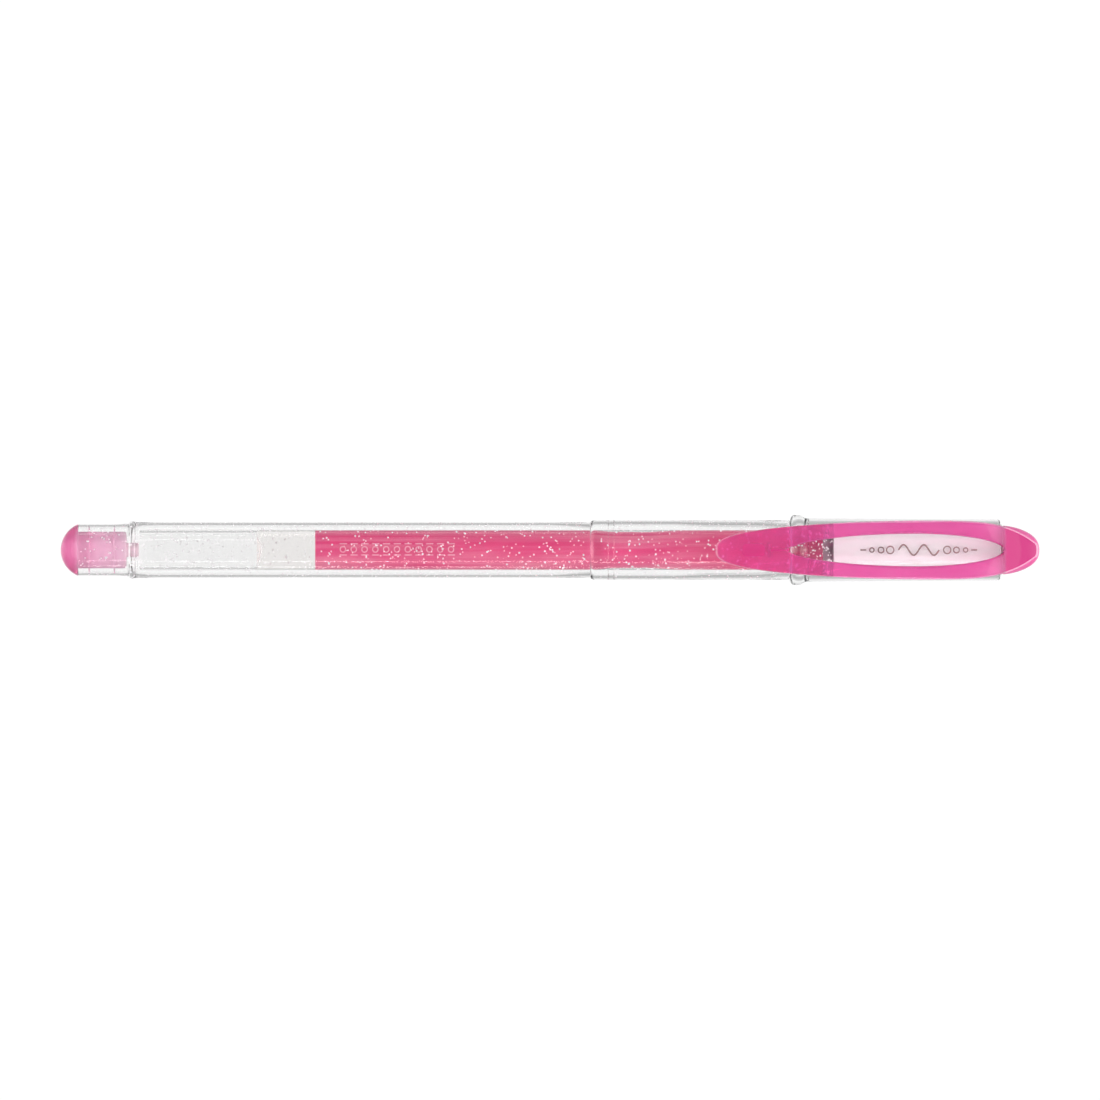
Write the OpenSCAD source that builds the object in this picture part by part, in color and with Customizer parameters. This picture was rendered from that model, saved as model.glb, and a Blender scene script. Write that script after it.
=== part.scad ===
// Capped gel pen: clear glittered barrel, ink refill with a ball point, and a clear cap with a clip.
// The pen lies along X with its cap towards +X and its clip up. The origin is half way along it,
// on the surface that the bead of the cap rests on. Stations are distances from the tail's end.

/* [Tail] */
// Length of the coloured dome that closes the barrel
dome_l = 2.7; // [2.6:0.05:3.2]
// Radius of the dome's sphere
dome_r = 4.27; // [4.1:0.01:4.6]
// Length of the rear neck that takes the cap while writing
post_l = 7.75; // [7:0.05:9]
// Diameter of the rear neck where the cap grips it
post_d = 7.9; // [7.86:0.02:8.0]
// Diameter of the rim bead that stops the cap
rim_d = 8.89; // [8.7:0.01:9.2]
// Width of the rim bead
rim_w = 0.95; // [0.6:0.05:1.2]

/* [Barrel] */
// Length of the rear barrel from the rim bead to the grip
rear_l = 69.53; // [60:0.5:80]
// Outer diameter of the rear barrel
rear_d = 8.55; // [8.4:0.01:8.7]
// Diameter of the bore that holds the refill
bore_d = 7.2; // [7:0.05:7.4]

/* [Grip] */
// Length of the grip that shows below the cap
grip_l = 30.37; // [28:0.5:40]
// Outer diameter of the grip
grip_d = 9.13; // [9.0:0.01:9.3]
// Length of the front neck that the cap slides on
neck_l = 6.65; // [6.5:0.05:7]
// Diameter of the front neck
neck_d = 7.7; // [7.6:0.02:7.7]

/* [Refill] */
// Outer diameter of the ink tube
tube_d = 6.06; // [5.9:0.02:6.06]
// Inner diameter of the ink tube
tube_bore_d = 4.6; // [4.2:0.1:4.8]
// Length of the grease plug behind the ink
grease_l = 8.85; // [6:0.5:12]
// Station of the rear end of the ink
ink_x = 38.9; // [30:0.5:90]
// Diameter of the writing ball
ball_d = 1.0; // [0.9:0.02:1.0]

/* [Cap] */
// Length of the clear cap
cap_l = 32.15; // [32:0.05:33]
// Diameter of the cap behind its mouth bead
cap_d = 9.66; // [9.5:0.01:9.8]
// Diameter of the cap at its closed end
cap_end_d = 9.33; // [9.2:0.01:9.5]
// Diameter of the bead round the mouth
bead_d = 10.7; // [10.3:0.05:11]
// Length of the coloured end plug beyond the cap
nose_l = 6.0; // [5.8:0.05:6]

/* [Clip] */
// Widest point of the clip, measured across
clip_w = 9.0; // [8:0.1:9.6]
// Length of the clip's free part ahead of its widest point
clip_free_l = 31.3; // [29:0.1:33]
// Thickness of the clip
clip_t = 1.7; // [1.4:0.1:2]
// Height of the clip's top above the pen's axis
clip_h = 8.6; // [8.4:0.1:9.2]
// Widest point of the clip's window, measured across
window_w = 4.92; // [3:0.1:5.4]

/* [Hidden] */
$fn = 96;

// Colours of the plastics, the ink and the metal
clear_colour = [0.90, 0.91, 0.92, 0.45];
pink_colour = [0.90, 0.27, 0.58];
ink_colour = [0.87, 0.30, 0.48];

// Stations along the pen
rim_x = dome_l + post_l;
rear_x = rim_x + rim_w;
joint_x = rear_x + rear_l;
grip_end_x = joint_x + grip_l;
neck_end_x = grip_end_x + neck_l;
cap_x = grip_end_x + 0.05;
cap_end_x = cap_x + cap_l;
overall_l = cap_end_x + nose_l;
tube_x = rear_x + 0.6;
tube_end_x = neck_end_x + 0.95;
tip_end_x = neck_end_x + 18.02;
clip_x = cap_x + 19.9;
root_x = cap_end_x + 1.7;

// Height of the axis, with the bead on the surface
axis_h = bead_d / 2;

// Radial gaps of the fits
fixed_gap = 0.02;
running_gap = 0.05;

// Bores of the tail neck and of the two front sections
post_bore_r = 3.2;
spigot_bore_r = 3.25;
spigot_r = 3.95;
grip_bore_r = 3.45;
cap_bore_r = neck_d / 2 + running_gap;
liner_r = cap_bore_r - 0.03;

// Reach of the clip's outline over the end plug, and of its window each way
clip_back_l = 18.9;
window_free_l = 19.6;
window_back_l = 13.4;
window_x = clip_x - 0.75;

// Half width of the clip's outline, x from its widest place: blunt free end, tapered root
function clip_half(x) = clip_w / 2 * (x < 0
    ? pow(1 - pow(-x / clip_free_l, 1.7), 0.35)
    : 1 - pow(x / clip_back_l, 4));
// Half width of the window, x from its widest place: pointed free end, round root end
function window_half(x) = window_w / 2 * (x < 0
    ? pow(1 - pow(x / window_free_l, 2), 0.6)
    : sqrt(1 - pow(x / window_back_l, 2)));

// Carries a pen that starts at x = 0, with its axis on X, into the frame
module along() {
    translate([-overall_l / 2, 0, axis_h]) children();
}

// Turned shape from points of [radius, station]
module turned(points) {
    along() rotate([0, 90, 0]) rotate_extrude() polygon(points);
}

// Closes the barrel: a dome, and a spigot with two sealing ribs and a nub
module tail_plug() {
    base_r = post_d / 2 - 0.02;
    dome_angle = asin(base_r / dome_r);
    dome = [for (i = [0:10]) let(a = dome_angle * i / 10) [dome_r * sin(a), dome_r * (1 - cos(a))]];
    body_r = 2.8;
    rib_r = post_bore_r - 0.01;
    end_x = rim_x - 0.25;
    color(pink_colour) turned(concat(dome, [
        [base_r, dome_l], [body_r, dome_l],
        [body_r, 4.25], [rib_r, 4.35], [rib_r, 4.45], [body_r, 4.55],
        [body_r, 8.1], [rib_r, 8.2], [rib_r, 8.3], [body_r, 8.4],
        [body_r, end_x - 0.4], [body_r - 0.12, end_x - 0.12], [body_r - 0.4, end_x],
        [1.1, end_x], [1.1, end_x + 1.3], [0.8, end_x + 1.6], [0, end_x + 1.6]
    ]));
}

// Rear barrel: neck, rim bead and tube, and the spigot that the grip snaps over
module barrel() {
    post_r = post_d / 2;
    bead_r = rim_w / 2;
    rim = [for (a = [-80:20:80]) [rim_d / 2 - bead_r + bead_r * cos(a), rim_x + bead_r + bead_r * sin(a)]];
    color(clear_colour) turned(concat(
        [[post_bore_r, dome_l], [post_r - 0.1, dome_l], [post_r, dome_l + 0.15]],
        [[post_r, rim_x - 2], [post_r + 0.08, rim_x]],
        rim,
        [
            [rear_d / 2, rear_x], [rear_d / 2, joint_x - 0.75], [rear_d / 2 + 0.12, joint_x],
            [spigot_r, joint_x], [spigot_r, joint_x + 2.5], [spigot_r + 0.1, joint_x + 2.75],
            [spigot_r + 0.1, joint_x + 3.3], [spigot_r - 0.1, joint_x + 3.55],
            [spigot_bore_r, joint_x + 3.55], [spigot_bore_r, joint_x],
            [spigot_bore_r + 0.1, joint_x - 0.9], [bore_d / 2, joint_x - 1.9],
            [bore_d / 2, rim_x + 0.2], [post_bore_r, rim_x - 0.15]
        ]
    ));
}

// Grip section: socket for the barrel's spigot, grip, and the front neck for the cap
module grip_section() {
    socket_r = spigot_r + fixed_gap;
    grip_r = grip_d / 2;
    neck_r = neck_d / 2;
    color(clear_colour) turned([
        [socket_r, joint_x], [rear_d / 2 + 0.12, joint_x], [grip_r - 0.07, joint_x + 0.35],
        [grip_r, joint_x + 0.75], [grip_r, grip_end_x - 0.3], [grip_r - 0.09, grip_end_x - 0.09],
        [grip_r - 0.3, grip_end_x], [neck_r, grip_end_x], [neck_r, neck_end_x - 0.2],
        [neck_r - 0.1, neck_end_x], [grip_bore_r, neck_end_x], [grip_bore_r, joint_x + 3.6],
        [socket_r + 0.1, joint_x + 3.6], [socket_r + 0.1, joint_x + 2.75], [socket_r, joint_x + 2.5]
    ]);
}

// Cone that holds the point, with a spigot in the neck and a thin flange against the neck's end
module nose_cone() {
    tube_fit_r = tube_d / 2 + running_gap;
    color(clear_colour) turned([
        [tube_fit_r, neck_end_x - 4.35], [grip_bore_r - fixed_gap, neck_end_x - 4.35],
        [grip_bore_r - fixed_gap, neck_end_x], [3.7, neck_end_x], [3.7, neck_end_x + 0.3],
        [3.4, neck_end_x + 0.35], [3.4, neck_end_x + 2.05], [2.62, neck_end_x + 6.9],
        [1.75, neck_end_x + 11.8], [1.5, neck_end_x + 13], [1.3, neck_end_x + 13.35],
        [1.2, neck_end_x + 13.35], [1.2, neck_end_x + 8.45], [1.85, neck_end_x + 8.25],
        [tube_fit_r, neck_end_x + 2.05]
    ]);
}

// Ink tube, open at the rear
module refill_tube() {
    color([0.93, 0.93, 0.92, 0.5]) turned([
        [tube_bore_d / 2, tube_x], [tube_d / 2, tube_x],
        [tube_d / 2, tube_end_x], [tube_bore_d / 2, tube_end_x]
    ]);
}

// Ink column between the grease plug and the tip holder
module ink() {
    color(ink_colour) turned([
        [0, ink_x], [tube_bore_d / 2 - fixed_gap, ink_x],
        [tube_bore_d / 2 - fixed_gap, neck_end_x - 1.55], [0, neck_end_x - 1.55]
    ]);
}

// Grease plug with a curved rear face, which follows the ink as it is used
module ink_follower() {
    grease_r = tube_bore_d / 2 - running_gap;
    grease_x = ink_x - 0.05 - grease_l;
    face = [for (i = [0:6]) [grease_r * i / 6, grease_x + 0.9 * (1 - pow(i / 6, 2))]];
    color([0.93, 0.90, 0.88, 0.6]) turned(concat(face, [[grease_r, ink_x - 0.05], [0, ink_x - 0.05]]));
}

// White plug that joins the tube and the steel tip
module tip_holder() {
    holder_x = neck_end_x - 1.5;
    color([0.95, 0.95, 0.94]) turned([
        [0.6, holder_x], [tube_bore_d / 2 - fixed_gap, holder_x],
        [tube_bore_d / 2 - fixed_gap, tube_end_x], [tube_d / 2, tube_end_x],
        [tube_d / 2, tube_end_x + 0.9], [2.6, tube_end_x + 1.1], [1.75, neck_end_x + 8.1],
        [1.17, neck_end_x + 8.1], [1.17, neck_end_x + 4.5], [0.6, neck_end_x + 4.5]
    ]);
}

// Turned steel point with a ball seat at its end
module tip() {
    seat_r = ball_d / 2 + 0.03;
    lip_x = tip_end_x;
    color([0.72, 0.72, 0.74]) difference() {
        turned([
            [0.35, neck_end_x + 4.55], [1.15, neck_end_x + 4.55], [1.15, lip_x - 3.6],
            [0.95, lip_x - 3.3], [0.62, lip_x - 0.2], [0.56, lip_x], [0.35, lip_x]
        ]);
        along() translate([tip_end_x - 0.22, 0, 0]) sphere(r = seat_r, $fn = 48);
    }
}

// Writing ball, free to roll in its seat
module ball() {
    color([0.55, 0.55, 0.58]) along() translate([tip_end_x - 0.22, 0, 0]) sphere(d = ball_d, $fn = 48);
}

// Clear cap with a bead round its mouth
module cap_tube() {
    cap_r = cap_d / 2;
    bead_r = bead_d / 2;
    color(clear_colour) turned([
        [cap_bore_r + 0.2, cap_x], [bead_r - 0.45, cap_x], [bead_r - 0.1, cap_x + 0.28],
        [bead_r, cap_x + 0.45], [bead_r, cap_x + 1.35], [bead_r - 0.15, cap_x + 1.65],
        [cap_r + 0.13, cap_x + 2.15], [cap_r, cap_x + 2.5], [cap_end_d / 2, cap_end_x - 0.3],
        [cap_end_d / 2 - 0.3, cap_end_x], [cap_bore_r, cap_end_x], [cap_bore_r, cap_x + 0.3]
    ]);
}

// White liner: mouth and cone that clear the nose, pocket for the seal, cup for the end plug
module inner_cap() {
    mouth_x = neck_end_x + 0.45;
    color([0.97, 0.96, 0.96]) turned([
        [3.46, mouth_x], [liner_r, mouth_x], [liner_r, cap_end_x + 0.35], [3.1, cap_end_x + 0.35],
        [3.1, cap_end_x - 3.05], [0, cap_end_x - 3.05], [0, tip_end_x + 2.88],
        [1.75, tip_end_x + 2.88], [1.75, neck_end_x + 12.55], [3.46, neck_end_x + 2.35]
    ]);
}

// Rubber pad that meets the ball
module tip_seal() {
    seal_x = tip_end_x + 0.38;
    color([0.85, 0.84, 0.82]) turned([
        [0, seal_x], [1.45, seal_x], [1.73, seal_x + 0.28], [1.73, seal_x + 2.45], [0, seal_x + 2.45]
    ]);
}

// Side outline of the clip and its root: [station, height above the axis]
function clip_top(x) = x < cap_end_x - 4.5
    ? clip_h - 0.00115 * pow(x - clip_x, 2)
    : (clip_h - 0.07) * sqrt(1 - pow((x - cap_end_x + 4.5) / 10.85, 2));
function clip_under(x) = x < cap_end_x - 6.5
    ? clip_top(x) - clip_t
    : clip_top(x) - clip_t - 0.75 * (1 - cos(180 * min(1, (x - cap_end_x + 6.5) / 8))) / 2;

// Solid between the clip's top and underside from one station to another
module clip_side(from, to, n = 24) {
    stations = [for (i = [0:n]) from + (to - from) * i / n];
    upper = [for (x = stations) [x, clip_top(x)]];
    lower = [for (i = [n:-1:0]) [stations[i], clip_under(stations[i])]];
    rotate([90, 0, 0]) translate([0, 0, -clip_w]) linear_extrude(2 * clip_w) polygon(concat(upper, lower));
}

// Upright prisms over the outlines of the clip and of its window
module clip_prism(n = 72) {
    translate([clip_x, 0, 0]) linear_extrude(2 * clip_h) polygon([
        for (i = [0:n - 1]) let(a = 360 * i / n, x = cos(a) * (cos(a) < 0 ? clip_free_l : clip_back_l))
            [x, sign(sin(a)) * clip_half(x)]
    ]);
}
module window_prism(n = 64) {
    translate([window_x, 0, 0]) linear_extrude(2 * clip_h) polygon([
        for (i = [0:n - 1]) let(a = 360 * i / n, x = cos(a) * (cos(a) < 0 ? window_free_l : window_back_l))
            [x, sign(sin(a)) * window_half(x)]
    ]);
}

// End plug: spigot in the liner, rounded nose, and the root that carries the clip
module cap_plug() {
    nose_x = cap_end_x + 0.4;
    nose_r = 3.74;
    nose = [for (i = [0:14]) let(t = sin(90 * i / 14))
        [nose_r * pow(1 - pow(t, 1.6), 0.42), nose_x + t * (overall_l - nose_x)]];
    color(pink_colour) union() {
        turned(concat([[0, cap_end_x - 3], [3.08, cap_end_x - 3], [3.08, nose_x]], nose));
        along() intersection() {
            clip_prism();
            rotate([90, 0, 0]) translate([0, 0, -clip_w]) linear_extrude(2 * clip_w) polygon(concat(
                [[root_x, 1.2]],
                [for (i = [0:12]) let(x = root_x + (overall_l - 0.2 - root_x) * i / 12) [x, clip_top(x)]],
                [[overall_l - 0.2, 1.2]]
            ));
        }
    }
}

// Clip: curved bar with a long oval window, and a bump with a rib under its free end
module clip() {
    bump_x = cap_x - 5.15;
    bump_r = 1.95;
    bump_gap = 0.19;
    color(pink_colour) along() union() {
        difference() {
            intersection() {
                clip_side(clip_x - clip_free_l, root_x - 0.05);
                clip_prism();
            }
            window_prism();
        }
        intersection() {
            translate([bump_x, 0.9, grip_d / 2 + bump_gap + bump_r])
                rotate([90, 0, 0]) cylinder(r = bump_r, h = 1.8);
            translate([bump_x - bump_r, -1, 0]) cube([2 * bump_r, 2, clip_under(bump_x) + 0.6]);
        }
        translate([bump_x + 1.7, -1.3, clip_under(bump_x + 2) - 0.5]) cube([0.7, 2.6, 1]);
        translate([bump_x + 1.7, -0.2, clip_under(bump_x + 2) - 0.4]) cube([3.4, 0.4, 1]);
    }
}

tail_plug();
barrel();
grip_section();
nose_cone();
refill_tube();
ink();
ink_follower();
tip_holder();
tip();
ball();
cap_tube();
inner_cap();
tip_seal();
cap_plug();
clip();
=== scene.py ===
"""Capped glitter gel pen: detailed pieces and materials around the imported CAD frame."""
import math
import random

import bmesh
import bpy
from mathutils import Matrix, Vector


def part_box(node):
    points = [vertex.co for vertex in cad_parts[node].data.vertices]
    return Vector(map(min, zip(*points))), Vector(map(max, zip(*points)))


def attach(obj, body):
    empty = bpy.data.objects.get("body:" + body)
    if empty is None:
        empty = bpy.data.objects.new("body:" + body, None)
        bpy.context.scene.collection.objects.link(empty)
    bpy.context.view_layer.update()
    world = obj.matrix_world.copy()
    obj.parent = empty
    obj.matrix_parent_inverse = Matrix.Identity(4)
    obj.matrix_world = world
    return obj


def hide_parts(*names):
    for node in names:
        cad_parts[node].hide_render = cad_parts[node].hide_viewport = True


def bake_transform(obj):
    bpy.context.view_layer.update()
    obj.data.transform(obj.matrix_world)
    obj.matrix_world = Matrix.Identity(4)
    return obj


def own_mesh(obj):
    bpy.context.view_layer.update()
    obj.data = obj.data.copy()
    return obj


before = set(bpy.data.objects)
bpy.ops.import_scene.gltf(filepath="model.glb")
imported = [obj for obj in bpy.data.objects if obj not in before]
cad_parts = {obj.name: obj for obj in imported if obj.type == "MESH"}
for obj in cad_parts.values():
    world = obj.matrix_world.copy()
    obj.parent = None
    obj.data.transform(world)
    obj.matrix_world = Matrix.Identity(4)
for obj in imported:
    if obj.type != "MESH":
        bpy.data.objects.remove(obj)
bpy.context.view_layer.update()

# Sizes. Lengths are in millimetres, and stations are distances from the tail's end.
MM = 0.001
BARREL_LOW, BARREL_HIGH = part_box("barrel")
TAIL_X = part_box("tail_plug")[0].x / MM
AXIS_Z = (BARREL_LOW.z + BARREL_HIGH.z) / 2 / MM


def station(node, end):
    """Distance from the tail's end to a CAD node's rear (0) or front (1) end."""
    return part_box(node)[end].x / MM - TAIL_X


def radius(node):
    """Outer radius of a turned CAD node."""
    low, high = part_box(node)
    return (high.y - low.y) / 2 / MM


DOME_L = 2.7
DOME_SPHERE_R = 4.27
RIM_X = DOME_L + 7.75
REAR_X = RIM_X + 0.95
JOINT_X = station("grip_section", 0)
NECK_END_X = station("grip_section", 1)
GRIP_END_X = NECK_END_X - 6.65
CAP_X = station("cap_tube", 0)
CAP_END_X = station("cap_tube", 1)
LENGTH = station("cap_plug", 1)
TIP_END_X = station("tip", 1)
INK_X = station("ink", 0)
INK_END_X = station("ink", 1)

POST_R = 3.95
POST_BORE_R = 3.66
RIM_R = 4.38
REAR_R = 4.275
BORE_R = 3.92
SPIGOT_R = 2.8
SPIGOT_RIB_R = 3.64
NUB_R = 1.1
GRIP_R = radius("grip_section")
NECK_R = 3.85
GRIP_BORE_R = 4.05
NECK_BORE_R = 3.45
NOSE_R = 3.4
NOSE_END_R = 1.4
NOSE_BORE_R = 1.85
TIP_HOLE_R = 1.2
TUBE_R = radius("refill_tube")
TUBE_BORE_R = 2.72
HOLDER_END_R = 1.75
HOLDER_BORE_R = 1.17
INK_HOLE_R = 0.6
TIP_R = 1.15
BALL_R = 0.5
SEAT_R = 0.53
CAP_BORE_R = 3.9
CAP_R = 4.83
CAP_END_R = 4.665
BEAD_R = radius("cap_tube")
LINER_R = radius("inner_cap")
LINER_BORE_R = 3.46
LINER_REAR_BORE_R = 3.1
LINER_TIP_BORE_R = 1.75
SEAL_R = 1.73
PLUG_R = 3.08
PLUG_NOSE_R = 3.74

CLIP_X = CAP_X + 19.9
CLIP_HALF_W = 4.5
CLIP_FREE_L = 31.3
CLIP_BACK_L = 18.9
CLIP_ROOT_L = 18.05
CLIP_H = 8.6
CLIP_T = 1.7
CLIP_EDGE_R = 0.32
CLIP_UNDER_R = 0.18
CLIP_CROWN = 0.16
PAD_X = CAP_X - 5.15
WINDOW_X = CLIP_X - 0.75
WINDOW_HALF_W = 2.46
WINDOW_FREE_L = 19.6
WINDOW_BACK_L = 13.4

# The ink tube's bore narrows a little where the grip section starts: stations and how much.
INK_WAIST = (JOINT_X + 0.5, 0), (JOINT_X + 3, 0.24), (JOINT_X + 9, 0.28), (JOINT_X + 14, 0)

# Clear walls that hold flakes: start and end stations, inner and outer radius.
REAR_ZONES = [
    (DOME_L + 0.3, RIM_X, POST_BORE_R, POST_R),
    (RIM_X, REAR_X, BORE_R, 4.2),
    (REAR_X, JOINT_X - 1.9, BORE_R, REAR_R),
    (JOINT_X - 1.9, JOINT_X - 0.8, BORE_R - 0.1, REAR_R),
]
GRIP_ZONES = [
    (JOINT_X + 1.5, JOINT_X + 3.6, GRIP_BORE_R - 0.05, GRIP_R),
    (JOINT_X + 3.6, GRIP_END_X - 0.4, GRIP_BORE_R, GRIP_R),
]
NECK_ZONES = [(GRIP_END_X - 0.4, NECK_END_X - 0.2, NECK_BORE_R, NECK_R)]

# Floor's painted pool of light and the sky, as stops of (distance from the middle, grey). The floor's
# distances are in metres.
FLOOR_GLOW_POOL = (0.094, 0.88), (0.112, 0.56), (0.24, 0.27), (0.34, 0.27), (0.5, 0.64)
SKY = (0.05, 0.1), (0.3, 0.5), (0.6, 1.0)

# Lights in watts: two big ones beyond the pen's ends, and three slim ones along its sides.
SOFTBOX_POWER = 20
STRIP_POWER = 0.4
FAR_STRIP_POWER = 0.25

FLAKE_SIZES = 0.07, 0.17
FLAKE_TILT = 24

SEGMENTS = 160
SMALL_SEGMENTS = 96
rng = random.Random(7)


# ---------------------------------------------------------------- mesh helpers

def place(x, y, z):
    """Point in the shared frame, in metres, from a station, a sideways place and a height above the axis."""
    return Vector(((x + TAIL_X) * MM, y * MM, (z + AXIS_Z) * MM))


def rounded(outline):
    """Points of a closed outline of (x, r, fillet), each corner with a fillet turned into a smooth arc.

    A point a little before and after each arc keeps the shading of the straight stretches even."""
    steps = 5
    support = 0.35
    points = []
    count = len(outline)
    for i, (x, r, fillet) in enumerate(outline):
        corner = Vector((x, r))
        if not fillet:
            points.append(corner)
            continue
        before = Vector(outline[i - 1][:2]) - corner
        after = Vector(outline[(i + 1) % count][:2]) - corner
        reach = min(fillet, before.length * 0.45, after.length * 0.45)
        start = corner + before.normalized() * reach
        end = corner + after.normalized() * reach
        if before.length > reach * 2:
            points.append(start + before.normalized() * reach * support)
        for k in range(steps + 1):
            t = k / steps
            points.append(start * (1 - t) ** 2 + corner * 2 * t * (1 - t) + end * t * t)
        if after.length > reach * 2:
            points.append(end + after.normalized() * reach * support)
    return points


def new_object(name, bm, smooth_angle=40):
    """Object from a bmesh, with outward normals and smooth shading up to an angle."""
    bmesh.ops.recalc_face_normals(bm, faces=bm.faces)
    mesh = bpy.data.meshes.new(name)
    bm.to_mesh(mesh)
    bm.free()
    mesh.shade_smooth()
    mesh.set_sharp_from_angle(angle=math.radians(smooth_angle))
    obj = bpy.data.objects.new(name, mesh)
    bpy.context.scene.collection.objects.link(obj)
    return obj


def add_turned(bm, points, segments):
    """Adds the closed surface of revolution of a closed outline of (x, r) about the pen's axis."""
    rings = []
    for x, r in points:
        if r < 1e-6:
            rings.append([bm.verts.new(place(x, 0, 0))])
            continue
        ring = []
        for k in range(segments):
            angle = 2 * math.pi * k / segments
            ring.append(bm.verts.new(place(x, r * math.cos(angle), r * math.sin(angle))))
        rings.append(ring)
    for a, b in zip(rings, rings[1:] + rings[:1]):
        if len(a) == 1 and len(b) == 1:
            continue
        for k in range(segments):
            n = (k + 1) % segments
            corners = [a[k % len(a)], a[n % len(a)], b[n % len(b)], b[k % len(b)]]
            face = [v for i, v in enumerate(corners) if v not in corners[:i]]
            if len(face) > 2:
                bm.faces.new(face)


def turned(name, outline, segments=SEGMENTS):
    """Turned object from a closed outline of (x, r, fillet)."""
    bm = bmesh.new()
    add_turned(bm, rounded(outline), segments)
    return new_object(name, bm)


def add_bands(bm, rings):
    """Adds the faces between each ring of vertices and the next, round each ring."""
    for a, b in zip(rings, rings[1:]):
        count = len(a)
        for k in range(count):
            n = (k + 1) % count
            bm.faces.new([a[k], a[n], b[n], b[k]])


def finish_piece(obj, body, material, slot, *nodes):
    """Gives a piece its material and body, and hides the CAD nodes that it stands for."""
    obj.data.materials.append(material)
    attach(obj, body)
    if nodes:
        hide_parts(*nodes)


# ---------------------------------------------------------------- materials

def principled(name, colour, roughness, **sockets):
    """New material with its node tree and Principled shader, and the given sockets set."""
    material = bpy.data.materials.new(name)
    material.use_nodes = True
    tree = material.node_tree
    shader = tree.nodes["Principled BSDF"]
    shader.inputs["Base Color"].default_value = (*colour, 1)
    shader.inputs["Roughness"].default_value = roughness
    for socket, value in sockets.items():
        shader.inputs[socket.replace("_", " ")].default_value = value
    return material, tree, shader


def noise(tree, scale, stretch, detail, seed):
    """Noise over the object's own coordinates, scaled along each axis and moved by the seed."""
    coords = tree.nodes.new("ShaderNodeTexCoord")
    mapping = tree.nodes.new("ShaderNodeMapping")
    mapping.inputs["Scale"].default_value = stretch
    mapping.inputs["Location"].default_value = (seed, seed, seed)
    texture = tree.nodes.new("ShaderNodeTexNoise")
    texture.inputs["Scale"].default_value = scale
    texture.inputs["Detail"].default_value = detail
    tree.links.new(coords.outputs["Object"], mapping.inputs["Vector"])
    tree.links.new(mapping.outputs["Vector"], texture.inputs["Vector"])
    return texture.outputs["Fac"]


def ramp(tree, factor, *stops):
    """Colour ramp with (position, colour) stops."""
    node = tree.nodes.new("ShaderNodeValToRGB")
    elements = node.color_ramp.elements
    while len(elements) < len(stops):
        elements.new(0.5)
    for element, (position, colour) in zip(elements, stops):
        element.position = position
        element.color = (*colour, 1)
    tree.links.new(factor, node.inputs["Fac"])
    return node.outputs["Color"]


def spread(tree, factor, low, high):
    """Maps the middle of a noise, where most of it lies, to a range of numbers."""
    node = tree.nodes.new("ShaderNodeMapRange")
    node.inputs["From Min"].default_value = 0.3
    node.inputs["From Max"].default_value = 0.7
    node.inputs["To Min"].default_value = low
    node.inputs["To Max"].default_value = high
    tree.links.new(factor, node.inputs["Value"])
    return node.outputs["Result"]


def bump(tree, shader, height, strength, distance):
    """Fine relief on the shader's surface, with the distance in metres."""
    node = tree.nodes.new("ShaderNodeBump")
    node.inputs["Strength"].default_value = strength
    node.inputs["Distance"].default_value = distance
    tree.links.new(height, node.inputs["Height"])
    tree.links.new(node.outputs["Normal"], shader.inputs["Normal"])


def clear_plastic(name, colour, rough_low, rough_high, ripple, seed, index=1.5):
    """Moulded clear plastic: faint flow ripples along the pen and uneven gloss."""
    material, tree, shader = principled(name, colour, rough_low, Transmission_Weight=1.0, IOR=index)
    handling = noise(tree, 900, (0.5, 1, 1), 4, seed)
    tree.links.new(spread(tree, handling, rough_low, rough_high), shader.inputs["Roughness"])
    flow = noise(tree, 420, (0.05, 1, 1), 2, seed + 3)
    bump(tree, shader, flow, ripple, 0.00004)
    return material


def tinted_plastic(name, dark, light, transmission, seed, specular):
    """Translucent coloured plastic with soft swirls of pigment and fine handling marks."""
    material, tree, shader = principled(
        name, light, 0.06, Transmission_Weight=transmission, IOR=1.5, Specular_IOR_Level=specular)
    swirl = noise(tree, 520, (0.35, 1, 1), 4, seed)
    tree.links.new(ramp(tree, swirl, (0.3, dark), (0.7, light)), shader.inputs["Base Color"])
    handling = noise(tree, 1500, (0.4, 1, 1), 5, seed + 5)
    tree.links.new(spread(tree, handling, 0.03, 0.09), shader.inputs["Roughness"])
    bump(tree, shader, handling, 0.08, 0.00003)
    return material


def along_pen(tree, start, end, low=0.0, high=1.0):
    """Number that goes from low to high between two stations, and stays there beyond them."""
    coords = tree.nodes.new("ShaderNodeTexCoord")
    split = tree.nodes.new("ShaderNodeSeparateXYZ")
    tree.links.new(coords.outputs["Object"], split.inputs["Vector"])
    node = tree.nodes.new("ShaderNodeMapRange")
    node.inputs["From Min"].default_value = place(start, 0, 0).x
    node.inputs["From Max"].default_value = place(end, 0, 0).x
    node.inputs["To Min"].default_value = low
    node.inputs["To Max"].default_value = high
    tree.links.new(split.outputs["X"], node.inputs["Value"])
    return node.outputs["Result"]


def clip_plastic(name, dark, light, root, transmission, seed):
    """Translucent pink that turns deep and solid where the clip runs into the end plug."""
    material = tinted_plastic(name, dark, light, transmission, seed, 0.2)
    tree = material.node_tree
    shader = tree.nodes["Principled BSDF"]
    swirl = shader.inputs["Base Color"].links[0].from_socket
    start, end = CAP_END_X + 0.4, CAP_END_X + 0.9
    mixed = tree.nodes.new("ShaderNodeMix")
    mixed.data_type = "RGBA"
    mixed.inputs["B"].default_value = (*root, 1)
    tree.links.new(along_pen(tree, start, end), mixed.inputs["Factor"])
    tree.links.new(swirl, mixed.inputs["A"])
    tree.links.new(mixed.outputs["Result"], shader.inputs["Base Color"])
    tree.links.new(along_pen(tree, start, end, transmission, 0), shader.inputs["Transmission Weight"])
    return material


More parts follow.
